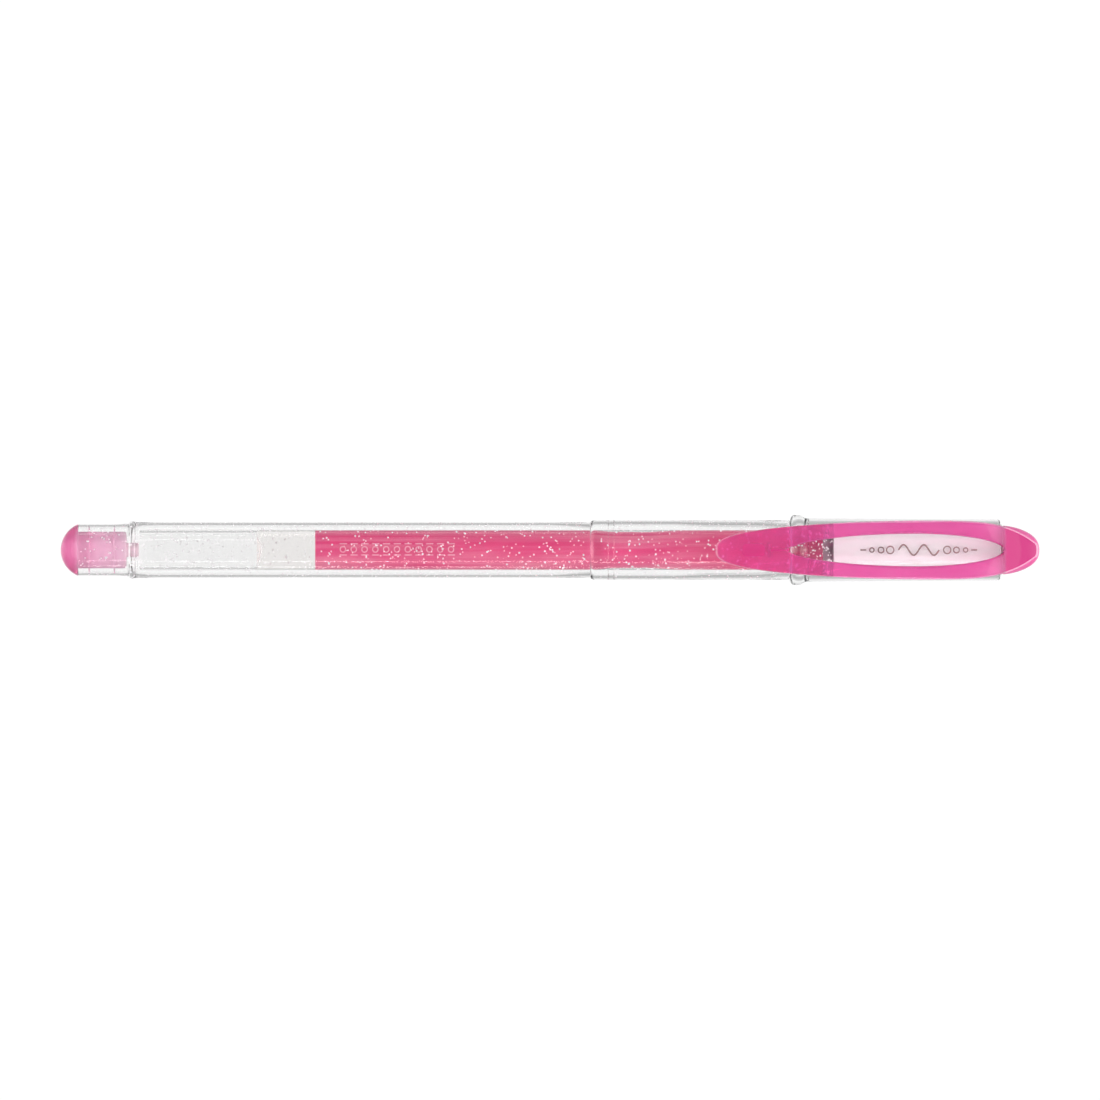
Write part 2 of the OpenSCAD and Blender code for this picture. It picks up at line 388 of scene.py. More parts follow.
def holder_plastic():
    """Milky plastic, greyish purple inside the neck, with painted shade in a dark band at the neck's end."""
    milky = (0.86, 0.84, 0.84)
    material, tree, shader = principled("holder_plastic", milky, 0.35, Transmission_Weight=0.25, IOR=1.45)
    # Greyish purple inside the neck, deepening to a dark band at the neck's end, which is painted shade.
    colour = ramp(
        tree, along_pen(tree, NECK_END_X - 1.6, NECK_END_X + 1.6),
        (0, (0.66, 0.54, 0.60)), (0.3, (0.56, 0.44, 0.50)), (0.47, (0.34, 0.20, 0.26)), (0.6, milky),
    )
    tree.links.new(colour, shader.inputs["Base Color"])
    grain = noise(tree, 2600, (1, 1, 1), 5, 44)
    tree.links.new(spread(tree, grain, 0.3, 0.45), shader.inputs["Roughness"])
    bump(tree, shader, grain, 0.15, 0.00002)
    return material


def tail_plastic():
    """Translucent pink: deep in the solid cap, paler in the thin-walled spigot and its nub."""
    middle = (0.92, 0.45, 0.68)
    material, tree, shader = principled("pink_tail", middle, 0.06, Transmission_Weight=0.7, IOR=1.5)
    colour = ramp(
        tree, along_pen(tree, 0, RIM_X),
        (0.2, (0.84, 0.14, 0.40)), (0.27, (1.0, 0.53, 0.75)),
        (0.9, (1.0, 0.69, 0.85)), (1.0, (0.97, 0.80, 0.87)),
    )
    tree.links.new(colour, shader.inputs["Base Color"])
    tree.links.new(along_pen(tree, DOME_L, DOME_L + 0.1, 0.7, 0.5), shader.inputs["Transmission Weight"])
    handling = noise(tree, 1500, (0.4, 1, 1), 5, 29)
    tree.links.new(spread(tree, handling, 0.03, 0.1), shader.inputs["Roughness"])
    bump(tree, shader, handling, 0.08, 0.00003)
    return material


def ink_material():
    """Gel ink: fine pigment streaks along the tube over soft clouds."""
    material, tree, shader = principled("gel_ink", (0.88, 0.19, 0.40), 0.35)
    streaks = noise(tree, 1700, (0.02, 1, 1), 5, 2)
    clouds = noise(tree, 300, (0.3, 1, 1), 4, 9)
    mixed = tree.nodes.new("ShaderNodeMix")
    mixed.data_type = "FLOAT"
    mixed.inputs["Factor"].default_value = 0.35
    tree.links.new(streaks, mixed.inputs["A"])
    tree.links.new(clouds, mixed.inputs["B"])
    colour = ramp(
        tree, mixed.outputs["Result"],
        (0.36, (0.82, 0.07, 0.24)), (0.5, (0.84, 0.145, 0.31)), (0.64, (0.88, 0.25, 0.39)),
    )
    tree.links.new(colour, shader.inputs["Base Color"])
    bump(tree, shader, clouds, 0.3, 0.00005)
    return material


def solid_plastic(name, low, high, rough_low, rough_high, seed, **sockets):
    """Opaque plastic or rubber with a faint grain."""
    material, tree, shader = principled(name, high, rough_low, **sockets)
    grain = noise(tree, 2600, (1, 1, 1), 5, seed)
    tree.links.new(ramp(tree, grain, (0.35, low), (0.65, high)), shader.inputs["Base Color"])
    tree.links.new(spread(tree, grain, rough_low, rough_high), shader.inputs["Roughness"])
    bump(tree, shader, grain, 0.15, 0.00002)
    return material


def turned_metal(name, low, high, rough_low, rough_high, seed):
    """Metal with the fine rings that a lathe leaves round the pen's axis."""
    material, tree, shader = principled(name, high, rough_low, Metallic=1.0)
    rings = noise(tree, 1200, (9, 0.05, 0.05), 3, seed)
    tree.links.new(ramp(tree, rings, (0.3, low), (0.7, high)), shader.inputs["Base Color"])
    tree.links.new(spread(tree, rings, rough_low, rough_high), shader.inputs["Roughness"])
    bump(tree, shader, rings, 0.25, 0.00001)
    return material


BARREL_PLASTIC = clear_plastic("barrel_plastic", (0.985, 0.985, 0.985), 0.0, 0.03, 0.025, 1)
CAP_PLASTIC = clear_plastic("cap_plastic", (0.985, 0.985, 0.985), 0.01, 0.03, 0.15, 11)
# The tube and the grease refract little, so that the ink seems to fill the whole tube.
TUBE_PLASTIC = clear_plastic("tube_plastic", (0.985, 0.985, 0.983), 0.02, 0.06, 0.05, 21, 1.12)
GREASE = clear_plastic("grease", (0.97, 0.95, 0.94), 0.02, 0.06, 0.3, 31, 1.1)
PINK_CLIP = clip_plastic(
    "pink_clip", (0.88, 0.135, 0.455), (0.915, 0.185, 0.505), (0.62, 0.046, 0.22), 0.72, 4)
# Paler pink is a painted highlight on the clip's top outer bevel; the cross bar under the clip uses it too.
PINK_EDGE_HIGHLIGHT = clip_plastic("pink_edge_highlight", (0.99, 0.68, 0.85), (1.0, 0.74, 0.89), (0.94, 0.36, 0.58), 0.8, 6)
HOLDER = holder_plastic()
PINK_PAD = tinted_plastic("pink_pad", (0.86, 0.004, 0.33), (0.92, 0.01, 0.37), 0.05, 24, 0.2)
PINK_PLUG = tinted_plastic("pink_plug", (0.86, 0.10, 0.36), (0.92, 0.17, 0.44), 0.05, 14, 0.3)
PINK_TAIL = tail_plastic()
INK = ink_material()
# The faint white glow is painted light: it lifts the shade that the clip casts on the liner seen through its
# window.
WHITE_WITH_GLOW = solid_plastic(
    "white_plastic", (0.91, 0.90, 0.90), (0.95, 0.94, 0.94), 0.35, 0.5, 41,
    Emission_Color=(1, 1, 1, 1), Emission_Strength=0.085)
RUBBER = solid_plastic("seal_rubber", (0.52, 0.50, 0.48), (0.60, 0.58, 0.55), 0.7, 0.85, 51)
STEEL = turned_metal("tip_steel", (0.55, 0.55, 0.56), (0.72, 0.72, 0.73), 0.16, 0.32, 61)
CARBIDE = turned_metal("ball_carbide", (0.40, 0.40, 0.42), (0.50, 0.50, 0.52), 0.08, 0.16, 71)
PRINT = solid_plastic("motif_print", (0.25, 0.16, 0.155), (0.34, 0.23, 0.22), 0.5, 0.65, 81)
TUBE_PRINT = solid_plastic("tube_print", (0.90, 0.42, 0.56), (0.95, 0.54, 0.66), 0.5, 0.65, 91)


def glowing_flake_material():
    """Pearly flakes with a painted glow that keeps them bright at any tilt, and a faint tone by place."""
    material, tree, shader = principled("glowing_pearl_flakes", (0.95, 0.94, 0.95), 0.3, Emission_Strength=0.32)
    shader.inputs["Emission Color"].default_value = (1, 0.93, 0.96, 1)
    tone = noise(tree, 3000, (1, 1, 1), 2, 5)
    colour = ramp(tree, tone, (0.35, (0.86, 0.80, 0.85)), (0.65, (0.98, 0.97, 0.98)))
    tree.links.new(colour, shader.inputs["Base Color"])
    return material


GLOWING_FLAKES = glowing_flake_material()


# ---------------------------------------------------------------- pen body

def make_barrel():
    """Clear rear barrel, with the slim post for the cap, the rim bead and the long bore."""
    outline = [
        (DOME_L, POST_BORE_R, 0.1), (DOME_L, POST_R, 0.15), (RIM_X - 1.5, POST_R, 0.5),
        (RIM_X, POST_R + 0.1, 0.1), (RIM_X + 0.2, RIM_R, 0.2), (RIM_X + 0.7, RIM_R, 0.2),
        (REAR_X + 0.1, REAR_R, 0.3), (JOINT_X - 0.7, REAR_R, 0.3),
        (JOINT_X - 0.01, REAR_R - 0.05, 0.1), (JOINT_X - 0.01, 3.6, 0.1), (JOINT_X - 5.2, BORE_R, 1.5),
        (RIM_X + 3.2, BORE_R, 1), (RIM_X + 0.1, POST_BORE_R, 0.3),
    ]
    obj = turned("barrel_shell", outline)
    finish_piece(obj, "pen", BARREL_PLASTIC, "glitter_clear", "barrel")


def make_grip():
    """Wider clear front section, with the neck for the cap and a fine ring inside its rear end."""
    ring_r = GRIP_BORE_R - 0.05
    outline = [
        (JOINT_X + 0.01, GRIP_BORE_R, 0.05), (JOINT_X + 0.01, REAR_R + 0.08, 0.15),
        (JOINT_X + 0.45, GRIP_R, 0.4), (GRIP_END_X, GRIP_R, 0.3), (GRIP_END_X, NECK_R, 0.15),
        (NECK_END_X, NECK_R, 0.15), (NECK_END_X, NECK_BORE_R, 0.08), (GRIP_END_X - 1, NECK_BORE_R, 0.6),
        (GRIP_END_X - 4, 3.8, 1), (JOINT_X + 17.5, 3.85, 1), (JOINT_X + 13.3, GRIP_BORE_R, 0.8),
        (JOINT_X + 3.65, GRIP_BORE_R, 0.1), (JOINT_X + 3.5, ring_r, 0.1), (JOINT_X + 2.8, ring_r, 0.1),
        (JOINT_X + 2.65, GRIP_BORE_R, 0.1),
    ]
    obj = turned("grip_shell", outline)
    finish_piece(obj, "pen", BARREL_PLASTIC, "glitter_clear", "grip_section")


def make_nose():
    """Clear cone that holds the refill's point, with a spigot inside the grip's neck."""
    fit = TUBE_R + 0.05
    spigot_r = NECK_BORE_R - 0.02
    end = NECK_END_X
    outline = [
        (end - 4.35, fit, 0.05), (end - 4.35, spigot_r, 0.1), (end + 0.02, spigot_r, 0.03),
        (end + 0.05, NOSE_R, 0.05), (end + 2.05, NOSE_R, 0.8), (end + 6.9, 2.62, 1.5),
        (end + 11.8, 1.75, 0.8), (end + 13.35, NOSE_END_R, 0.3), (end + 13.35, TIP_HOLE_R, 0.05),
        (end + 8.45, TIP_HOLE_R, 0.1), (end + 8.25, NOSE_BORE_R, 0.2), (end + 2.05, fit, 0.4),
    ]
    obj = turned("nose_shell", outline)
    finish_piece(obj, "pen", CAP_PLASTIC, "clear_plastic", "nose_cone")


def make_tail_plug():
    """Dome, spigot with two fine ribs that touch the bore, and a small nub."""
    base = POST_R - 0.02
    reach = math.asin(base / DOME_SPHERE_R)
    steps = 12
    dome = [
        (DOME_SPHERE_R * (1 - math.cos(reach * i / steps)), DOME_SPHERE_R * math.sin(reach * i / steps), 0)
        for i in range(steps)
    ]
    end = RIM_X - 0.25
    ribs = []
    for x in (4.4, 8.25):
        ribs += [
            (x - 0.18, SPIGOT_R, 0.04), (x - 0.07, SPIGOT_RIB_R, 0.04),
            (x + 0.07, SPIGOT_RIB_R, 0.04), (x + 0.18, SPIGOT_R, 0.04),
        ]
    outline = [
        *dome, (2.6, base, 0.12), (DOME_L, base, 0.02), (DOME_L, SPIGOT_R, 0.1), *ribs,
        (end, SPIGOT_R, 0.45), (end, NUB_R, 0.12), (end + 1.6, NUB_R, 0.3), (end + 1.6, 0, 0),
    ]
    obj = turned("tail_plug_piece", outline)
    finish_piece(obj, "pen", PINK_TAIL, "pink_plastic", "tail_plug")


def make_refill_tube():
    """Ink tube, with a bore that follows the ink's waist."""
    start, end = station("refill_tube", 0), station("refill_tube", 1)
    waist = [(x, TUBE_BORE_R - slim, 0.8) for x, slim in reversed(INK_WAIST)]
    outline = [
        (start, TUBE_BORE_R, 0.08), (start, TUBE_R, 0.12),
        (end, TUBE_R, 0.08), (end, TUBE_BORE_R, 0.05), *waist,
    ]
    obj = turned("refill_tube_piece", outline)
    finish_piece(obj, "pen", TUBE_PLASTIC, "tube_plastic", "refill_tube")


def make_ink():
    """Ink column: it wets the bore, so it is a hair wider than that, and it shortens with use."""
    wet_r = TUBE_BORE_R + 0.012
    waist = [(x, wet_r - slim, 0.8) for x, slim in INK_WAIST]
    steps = 60
    straight = INK_WAIST[0][0] - INK_X
    rings = [(INK_X + straight * i / steps, wet_r, 0) for i in range(1, steps)]
    outline = [
        (INK_X, 0, 0), (INK_X + 0.45, 1.5, 0), (INK_X, wet_r, 0.05), *rings, *waist,
        (INK_END_X, wet_r, 0.05), (INK_END_X, 0, 0),
    ]
    obj = turned("ink_column", outline)
    finish_piece(obj, "pen", INK, "gel_ink", "ink")
    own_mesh(obj)


def make_follower():
    """Grease plug behind the ink, with a hollow rear face."""
    start, end = station("ink_follower", 0), station("ink_follower", 1)
    r = TUBE_BORE_R + 0.008
    hollow = 0.9
    steps = 8
    face = [(start + hollow * (1 - (i / steps) ** 2), r * i / steps, 0) for i in range(steps + 1)]
    outline = face + [(end, r, 0.05), (end + 0.35, 1.4, 0.4), (end + 0.4, 0, 0)]
    obj = turned("grease_plug", outline)
    finish_piece(obj, "follower", GREASE, "grease", "ink_follower")


def make_point():
    """Tip holder, steel point and ball."""
    holder_x = INK_END_X + 0.05
    tube_end = station("refill_tube", 1)
    end = NECK_END_X
    outline = [
        (holder_x, INK_HOLE_R, 0.05), (holder_x, TUBE_BORE_R - 0.02, 0.1),
        (tube_end, TUBE_BORE_R - 0.02, 0.02), (tube_end, TUBE_R, 0.1), (tube_end + 0.9, TUBE_R, 0.15),
        (tube_end + 1.1, 2.6, 0.1), (end + 8.1, HOLDER_END_R, 0.2), (end + 8.1, HOLDER_BORE_R, 0.05),
        (end + 4.5, HOLDER_BORE_R, 0.05), (end + 4.5, INK_HOLE_R, 0.05),
    ]
    holder = turned("tip_holder_piece", outline)
    finish_piece(holder, "pen", HOLDER, "tube_plastic", "tip_holder")
    lip = TIP_END_X
    ball_x = lip - 0.22
    seat = [
        (ball_x + SEAT_R * math.sin(a), SEAT_R * math.cos(a), 0)
        for a in (math.radians(d) for d in range(24, -48, -8))
    ]
    outline = [
        (end + 4.55, 0.35, 0.05), (end + 4.55, TIP_R, 0.12), (lip - 3.6, TIP_R, 0.1),
        (lip - 3.3, 0.95, 0.1), (lip - 0.2, 0.6, 0.1), (lip - 0.01, 0.54, 0.03), *seat,
        (ball_x - 0.42, 0.35, 0.05),
    ]
    point = turned("steel_point", outline, SMALL_SEGMENTS)
    finish_piece(point, "pen", STEEL, "tip_steel", "tip")
    bm = bmesh.new()
    bmesh.ops.create_uvsphere(bm, u_segments=48, v_segments=32, radius=BALL_R * MM)
    bmesh.ops.rotate(bm, matrix=Matrix.Rotation(math.radians(90), 3, "Y"), verts=bm.verts)
    bmesh.ops.translate(bm, vec=place(ball_x, 0, 0), verts=bm.verts)
    ball = new_object("writing_ball", bm)
    finish_piece(ball, "ball", CARBIDE, "ball_carbide", "ball")


# ---------------------------------------------------------------- glitter

def wall_of(zones, x):
    """Inner and outer radius of the clear wall at a station."""
    return next((inner, outer) for start, end, inner, outer in zones if start <= x < end)


def add_plate(bm, centre, spin, size):
    """Adds a thin six-sided plate with a turned frame of its own."""
    half_thickness = 0.008
    angles = [math.radians(60 * k) for k in range(6)]
    layers = []
    for side in (-half_thickness, half_thickness):
        corners = [Vector((size * math.cos(a), size * math.sin(a), side)) for a in angles]
        layers.append([bm.verts.new(centre + (spin @ c) * MM) for c in corners])
    bm.faces.new(layers[0][::-1])
    bm.faces.new(layers[1])
    add_bands(bm, layers)


def make_flakes(name, zones, per_mm):
    """Flakes inside the clear wall, most of them lying nearly along it."""
    bm = bmesh.new()
    start, end = zones[0][0], zones[-1][1]
    margin = 0.1
    for _ in range(round(per_mm * (end - start))):
        x = rng.uniform(start, end)
        turn = rng.uniform(0, 2 * math.pi)
        depth = rng.random()
        size = rng.uniform(*FLAKE_SIZES)
        tilts = rng.gauss(0, FLAKE_TILT), rng.gauss(0, FLAKE_TILT), rng.uniform(0, 60)
        inner, outer = wall_of(zones, x)
        r = inner + margin + (outer - inner - 2 * margin) * depth
        across = Vector((0, math.cos(turn), math.sin(turn)))
        spin = Matrix.Rotation(math.atan2(across.y, across.z), 3, "X").inverted()
        for axis, tilt in zip("XYZ", tilts):
            spin = spin @ Matrix.Rotation(math.radians(tilt), 3, axis)
        rise = abs(math.sin(math.radians(tilts[0])))
        if rise * size > margin:
            size = margin / rise
        add_plate(bm, place(x, r * across.y, r * across.z), spin, size)
    obj = new_object(name, bm, 20)
    finish_piece(obj, "pen", GLOWING_FLAKES, "glitter_clear")


# ---------------------------------------------------------------- cap

def make_cap_tube():
    """Clear cap with a bead round its mouth."""
    outline = [
        (CAP_X, CAP_BORE_R + 0.4, 0.1), (CAP_X, BEAD_R - 0.7, 0.2), (CAP_X + 0.35, BEAD_R, 0.4),
        (CAP_X + 1.6, BEAD_R, 0.3), (CAP_X + 2.4, CAP_R + 0.03, 0.4), (CAP_X + 3.2, CAP_R, 0.4),
        (CAP_END_X - 0.25, CAP_END_R, 0.2), (CAP_END_X, CAP_END_R - 0.25, 0.2),
        (CAP_END_X, CAP_BORE_R, 0.05), (CAP_X + 1.2, CAP_BORE_R, 0.4),
    ]
    obj = turned("cap_shell", outline)
    finish_piece(obj, "cap", CAP_PLASTIC, "clear_plastic", "cap_tube")


def make_liner():
    """White liner that closes round the nose cone, and the rubber pad at its bottom."""
    mouth = NECK_END_X + 0.08
    bottom = TIP_END_X + 2.88
    end = station("inner_cap", 1)
    outline = [
        (mouth, LINER_BORE_R, 0.08), (mouth, LINER_R, 0.1), (end, LINER_R, 0.12),
        (end, LINER_REAR_BORE_R, 0.08), (CAP_END_X - 3.05, LINER_REAR_BORE_R, 0.1),
        (CAP_END_X - 3.05, 0, 0), (bottom, 0, 0), (bottom, LINER_TIP_BORE_R, 0.1),
        (NECK_END_X + 12.55, LINER_TIP_BORE_R, 0.4), (NECK_END_X + 2.35, LINER_BORE_R, 0.8),
    ]
    obj = turned("cap_liner", outline)
    finish_piece(obj, "cap", WHITE_WITH_GLOW, "white_plastic", "inner_cap")
    start = station("tip_seal", 0)
    seal_end = start + 2.45
    outline = [
        (start, 0, 0), (start, 1.6, 0.3), (start + 0.3, SEAL_R, 0.1), (seal_end, SEAL_R, 0.1),
        (seal_end, 0, 0),
    ]
    seal = turned("seal_pad", outline, SMALL_SEGMENTS)
    finish_piece(seal, "cap", RUBBER, "seal_rubber", "tip_seal")


def make_cap_plug():
    """End plug with a blunt nose, which the clip runs into."""
    rear = CAP_END_X + 0.4
    steps = 28
    shares = [math.sin(math.pi / 2 * i / steps) for i in range(1, steps)]
    nose = [(rear + (LENGTH - rear) * t, PLUG_NOSE_R * (1 - t ** 1.6) ** 0.42, 0) for t in shares]
    outline = [
        (CAP_END_X - 3, 0, 0), (CAP_END_X - 3, PLUG_R, 0.15), (rear, PLUG_R, 0.05),
        (rear, PLUG_NOSE_R, 0.1), *nose, (LENGTH, 0, 0),
    ]
    obj = turned("cap_end_plug", outline)
    finish_piece(obj, "cap", PINK_PLUG, "pink_plastic", "cap_plug")


# ---------------------------------------------------------------- clip

def clip_top(x):
    """Height of the clip's top line above the axis: a faint bow, then an arc down to the end."""
    bow = 0.00115
    bend = CAP_END_X - 4.5
    arc_l = 10.85
    if x < bend:
        return CLIP_H - bow * (x - CLIP_X) ** 2
    return (CLIP_H - 0.07) * math.sqrt(max(0.02, 1 - ((x - bend) / arc_l) ** 2))


def smooth_step(t):
    """Goes smoothly from 0 to 1 as t does."""
    t = min(1.0, max(0.0, t))
    return t * t * (3 - 2 * t)


def clip_under(x):
    """Height of the clip's underside: it drops towards the root, then runs into the end plug."""
    tip_lift = 0.35
    root_drop = 0.75
    sunk_height = 1.0
    under = clip_top(x) - CLIP_T + tip_lift * smooth_step((CLIP_X - 26 - x) / 5)
    under -= root_drop * smooth_step((x - CAP_END_X + 6.5) / 8)
    sunk = smooth_step((x - CAP_END_X - 0.75) / 0.8)
    return under * (1 - sunk) + sunk_height * sunk


def free_half(distance):
    """Half width of the clip at a distance from its widest place towards its free end."""
    t = min(1.0, distance / CLIP_FREE_L)
    return CLIP_HALF_W * (1 - t ** 1.7) ** 0.35


def root_half(distance):
    """Half width of the clip at a distance from its widest place towards its root, with a rounded end."""
    corner = 0.45
    start = CLIP_ROOT_L - corner
    half = CLIP_HALF_W * (1 - (min(distance, start) / CLIP_BACK_L) ** 4)
    if distance < start:
        return half
    return half * math.sqrt(max(0.0, 1 - ((distance - start) / corner) ** 2))


def outer_edge(angle):
    """Point of the clip's outline, as a station and a sideways place."""
    c = math.cos(angle)
    side = 1 if math.sin(angle) >= 0 else -1
    if c < 0:
        return CLIP_X + CLIP_FREE_L * c, side * free_half(-CLIP_FREE_L * c)
    return CLIP_X + CLIP_ROOT_L * c, side * root_half(CLIP_ROOT_L * c)


def window_edge(angle):
    """Point of the window's outline."""
    c, s = math.cos(angle), math.sin(angle)
    if c < 0:
        half = WINDOW_HALF_W * (1 - c * c) ** 0.6
        return WINDOW_X + WINDOW_FREE_L * c, half if s >= 0 else -half
    return WINDOW_X + WINDOW_BACK_L * c, WINDOW_HALF_W * s


def clip_section():
    """Cross-section from the window's edge over the top to the outer edge, and back underneath.

    Each point is (kind, place, on top, height). The place of "in" and "out" points is an inset in mm
    from the window's or the outer edge, and that of "mid" points is a share of the width from the
    window. The height is in mm from the top or the underside."""
    edge = CLIP_EDGE_R
    under = CLIP_UNDER_R
    over = [math.radians(22.5 * k) for k in range(5)]
    below = [math.radians(30 * k) for k in range(4)]
    section = [("in", edge * (1 - math.cos(a)), True, edge * (math.sin(a) - 1)) for a in over]
    section += [("mid", t / 12, True, 0) for t in range(2, 11)]
    section += [("out", edge * (1 - math.sin(a)), True, edge * (math.cos(a) - 1)) for a in over]
    section += [("out", under * (1 - math.cos(a)), False, under * (1 - math.sin(a))) for a in below]
    section += [("mid", t / 20, False, 0) for t in range(18, 1, -1)]
    section += [("in", under * (1 - math.sin(a)), False, under * (1 - math.cos(a))) for a in below]
    return section


def clip_column(section, angle):
    """Places of the cross-section's points, from the window's edge to the outer edge at an angle."""
    inner, outer = Vector(window_edge(angle)), Vector(outer_edge(angle))
    across = outer - inner
    column = []
    for kind, value, top, height in section:
        inset = min(0.3, value / across.length)
        share = {"mid": value, "in": inset, "out": 1 - inset}[kind]
        x, y = inner + across * share
        base = clip_under(x)
        if top:
            base = clip_top(x) - CLIP_CROWN * (2 * share - 1) ** 2
        column.append(place(x, y, base + height))
    return column


def make_clip():
    """Clip: a loop round the window, swept in columns, with a painted highlight of paler pink on the bevel
    of its top outer edge.
    """
    bm = bmesh.new()
    turns = 420
    section = clip_section()
    columns = [
        [bm.verts.new(point) for point in clip_column(section, 2 * math.pi * k / turns)]
        for k in range(turns)
    ]
    count = len(section)
    for k in range(turns):
        a, b = columns[k], columns[(k + 1) % turns]
        for i in range(count):
            n = (i + 1) % count
            face = bm.faces.new([a[i], a[n], b[n], b[i]])
            # The faces of the top outer bevel get the paler pink: a painted highlight.
            if section[i][0] == section[n][0] == "out" and section[n][2]:
                face.material_index = 1
    obj = new_object("clip_bar", bm, 50)
    obj.data.materials.append(PINK_CLIP)
    obj.data.materials.append(PINK_EDGE_HIGHLIGHT)
    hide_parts("clip")
    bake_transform(obj)


def add_rib(bm, x, length, width, drop):
    """Small box that hangs from the clip's underside."""
    sink = 0.6
    verts = bmesh.ops.create_cube(bm, size=1)["verts"]
    for v in verts:
        height = clip_under(x) + (sink - drop) / 2 + v.co.z * (drop + sink)
        v.co = place(x + v.co.x * length, v.co.y * width, height)
    edges = list({e for v in verts for e in v.link_edges})
    bmesh.ops.bevel(bm, geom=edges, offset=0.08 * MM, segments=3, affect="EDGES")


def make_clip_pad():
    """Rounded pad and rib under the clip's free end, and the cross bar between them."""
    bm = bmesh.new()
    low = GRIP_R + 0.2
    high = clip_under(PAD_X) + 0.35
    half_l, half_w = 1.7, 0.95
    levels, around, power = 10, 48, 5
    rings = []
    for i in range(levels + 1):
        t = i / levels
        grow = 1 - 0.35 * (1 - min(1, 0.02 + t / 0.45)) ** 2.2
        ring = []
        for k in range(around):
            a = 2 * math.pi * k / around
            c, s = math.cos(a), math.sin(a)
            reach = grow * (abs(c) ** power + abs(s) ** power) ** (-1 / power)
            x = PAD_X - 0.4 + half_l * reach * c
            ring.append(bm.verts.new(place(x, half_w * reach * s, low + (high - low) * t)))
        rings.append(ring)
    add_bands(bm, rings)
    bm.faces.new(rings[0])
    bm.faces.new(rings[-1])
    add_rib(bm, PAD_X + 3.6, 2.6, 0.36, 0.4)
    obj = new_object("clip_pad", bm)
    finish_piece(obj, "clip", PINK_PAD, "pink_plastic")
    bm = bmesh.new()
    add_rib(bm, PAD_X + 2.0, 0.5, 2.3, 0.5)
    # The cross bar takes the paler pink of the painted edge highlight.
    obj = new_object("clip_crossbar", bm)
    finish_piece(obj, "clip", PINK_EDGE_HIGHLIGHT, "pink_plastic")


# ---------------------------------------------------------------- generic prints

def on_round(r, x, across):
    """Point on a round surface, facing up, from an arc length across it."""
    a = across / r
    return place(x, r * math.sin(a), r * math.cos(a))


def add_stroke(bm, r, path, width):
    """Thin raised stroke along a path of (x, across) on a round surface."""
    low, high = 0.002, 0.012
    rings = []
    for i, (x, y) in enumerate(path):
        x0, y0 = path[max(0, i - 1)]
        x1, y1 = path[min(len(path) - 1, i + 1)]
        along = Vector((x1 - x0, y1 - y0)).normalized()
        side = Vector((-along.y, along.x)) * width / 2
        rings.append([
            bm.verts.new(on_round(r + h, x + s * side.x, y + s * side.y))
            for h, s in ((low, -1), (low, 1), (high, 1), (high, -1))
        ])
    add_bands(bm, rings)
    bm.faces.new(rings[0])
    bm.faces.new(rings[-1][::-1])


def circle(x, y, r):
    """Closed path round a circle."""
    steps = 24
    angles = [2 * math.pi * k / steps for k in range(steps + 1)]
    return [(x + r * math.cos(a), y + r * math.sin(a)) for a in angles]


def cap_radius(x):
    """Outer radius of the cap, which tapers a little, at a station."""
    t = (x - CAP_X - 2.5) / (CAP_END_X - 0.3 - CAP_X - 2.5)
    return CAP_R + (CAP_END_R - CAP_R) * t


def make_motif():
    """Plain printed motif in the clip's window: a wave between rows of rings and dashes."""
    bm = bmesh.new()
    middle = WINDOW_X + 0.5
    r = cap_radius(middle) + 0.02
    wave_l, wave_h, steps = 6.2, 0.8, 60
    wave = [
        (middle - wave_l / 2 + wave_l * i / steps, wave_h * math.sin(4 * math.pi * i / steps))
        for i in range(steps + 1)
    ]
    add_stroke(bm, r, wave, 0.24)
    for side in (-1, 1):
        for k, size in enumerate((0.56, 0.44, 0.33)):
            add_stroke(bm, r, circle(middle + side * (4.35 + 1.4 * k), 0, size), 0.18)
        add_stroke(bm, r, [(middle + side * 8, 0), (middle + side * 8.9, 0)], 0.2)
    obj = new_object("cap_motif", bm)
    finish_piece(obj, "cap", PRINT, "white_plastic")


def make_tube_marks():
    """Row of small rings between dashes, printed on the ink tube."""
    bm = bmesh.new()
    start = RIM_X + 32.2
    pitch = 1.65
    for k in range(11):
        x = start + pitch * k
        add_stroke(bm, TUBE_R, circle(x + 0.5, 0.1, 0.42), 0.15)
        for y in (-0.75, 0.95):
            add_stroke(bm, TUBE_R, [(x + 1.1 * i / 6, y) for i in range(7)], 0.16)
    obj = new_object("tube_marks", bm)
    finish_piece(obj, "pen", TUBE_PRINT, "tube_plastic")


# ---------------------------------------------------------------- stage

def area_light(name, place_m, size, power):
    """White rectangular light that faces the pen."""
    data = bpy.data.lights.new(name, "AREA")
    data.shape = "RECTANGLE"
    data.size, data.size_y = size
    data.energy = power
    obj = bpy.data.objects.new(name, data)
    obj.location = place_m
    direction = -Vector(place_m)
    obj.rotation_euler = direction.to_track_quat("-Z", "Y").to_euler()
    bpy.context.scene.collection.objects.link(obj)


def distance_along(tree, space, axis):
    """Distance from the middle along one axis, either way."""
    coords = tree.nodes.new("ShaderNodeTexCoord")
    split = tree.nodes.new("ShaderNodeSeparateXYZ")
    tree.links.new(coords.outputs[space], split.inputs["Vector"])
    size = tree.nodes.new("ShaderNodeMath")
    size.operation = "ABSOLUTE"
    tree.links.new(split.outputs[axis], size.inputs[0])
    return size.outputs[0]


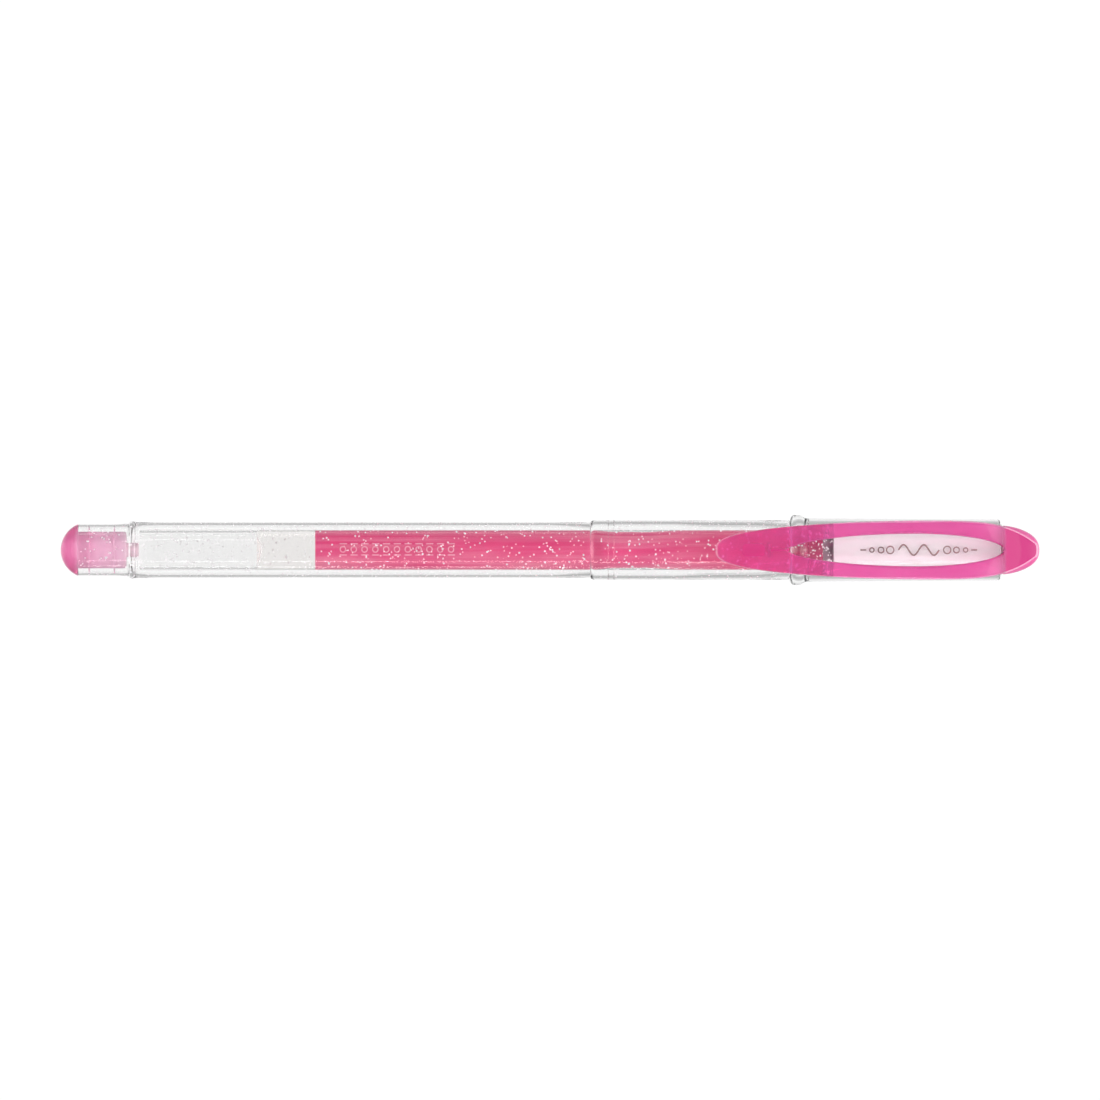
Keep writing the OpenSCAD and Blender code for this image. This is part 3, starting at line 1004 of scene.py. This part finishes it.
def make_stage():
    """Pale floor well below the pen, with a painted pool of light that glows brightest right under it, and a
    sky brighter beyond the ends.
    """
    mesh = bpy.data.meshes.new("floor")
    half = 3.0
    low = -0.3
    corners = ((-1, -1), (1, -1), (1, 1), (-1, 1))
    mesh.from_pydata([(half * x, half * y, low) for x, y in corners], [], [(0, 1, 2, 3)])
    floor = bpy.data.objects.new("floor", mesh)
    bpy.context.scene.collection.objects.link(floor)
    material, tree, shader = principled("floor_painted_glow", (0.12, 0.12, 0.12), 0.9)
    greys = [(distance, (grey, grey, grey)) for distance, grey in FLOOR_GLOW_POOL]
    # The floor's glow is a painted pool of light: bright under the pen, a dim band round it, paler again far
    # out.
    tree.links.new(ramp(tree, distance_along(tree, "Object", "Y"), *greys), shader.inputs["Emission Color"])
    shader.inputs["Emission Strength"].default_value = 1.0
    mesh.materials.append(material)

    world = bpy.data.worlds.new("studio")
    world.use_nodes = True
    bpy.context.scene.world = world
    tree = world.node_tree
    greys = [(distance, (grey, grey, grey)) for distance, grey in SKY]
    sky = ramp(tree, distance_along(tree, "Generated", "X"), *greys)
    tree.links.new(sky, tree.nodes["Background"].inputs["Color"])


def make_lights():
    """Two softboxes beyond the pen's ends, and three slim strips that draw highlights along it."""
    for side in (-1, 1):
        area_light("softbox", (side * 1.6, 0, 1.3), (2.0, 2.0), SOFTBOX_POWER)
    area_light("strip_low", (0, -0.6, 0.14), (0.9, 0.012), STRIP_POWER)
    area_light("strip_far", (0, 0.6, 0.14), (0.9, 0.05), FAR_STRIP_POWER)
    area_light("strip_high", (0, -0.42, 0.36), (0.9, 0.012), STRIP_POWER)


def make_camera():
    """Straight above the pen, with a long lens that frames a given width."""
    width = 168.0 * MM
    distance = 4.0
    sensor = 36
    data = bpy.data.cameras.new("camera")
    data.sensor_width = sensor
    data.lens = sensor * distance / width
    data.clip_end = 20
    camera = bpy.data.objects.new("camera", data)
    camera.location = (0, 0, AXIS_Z * MM + distance)
    bpy.context.scene.collection.objects.link(camera)
    bpy.context.scene.camera = camera


def tune_light_paths():
    """Enough bounces for the nested clear walls, without blurring what is seen through them."""
    bpy.context.scene.view_settings.view_transform = "Standard"
    cycles = bpy.context.scene.cycles
    cycles.max_bounces = 24
    cycles.transmission_bounces = 24
    cycles.glossy_bounces = 8
    cycles.diffuse_bounces = 4
    cycles.blur_glossy = 0
    cycles.use_denoising = True


# ---------------------------------------------------------------- the pen

make_barrel()
make_grip()
make_nose()
make_tail_plug()
make_refill_tube()
make_ink()
make_follower()
make_point()
make_flakes("barrel_flakes", REAR_ZONES, 24)
make_flakes("grip_flakes", GRIP_ZONES, 26)
make_flakes("neck_flakes", NECK_ZONES, 90)
make_cap_tube()
make_liner()
make_cap_plug()
make_clip()
make_clip_pad()
make_motif()
make_tube_marks()
make_stage()
make_lights()
make_camera()
tune_light_paths()
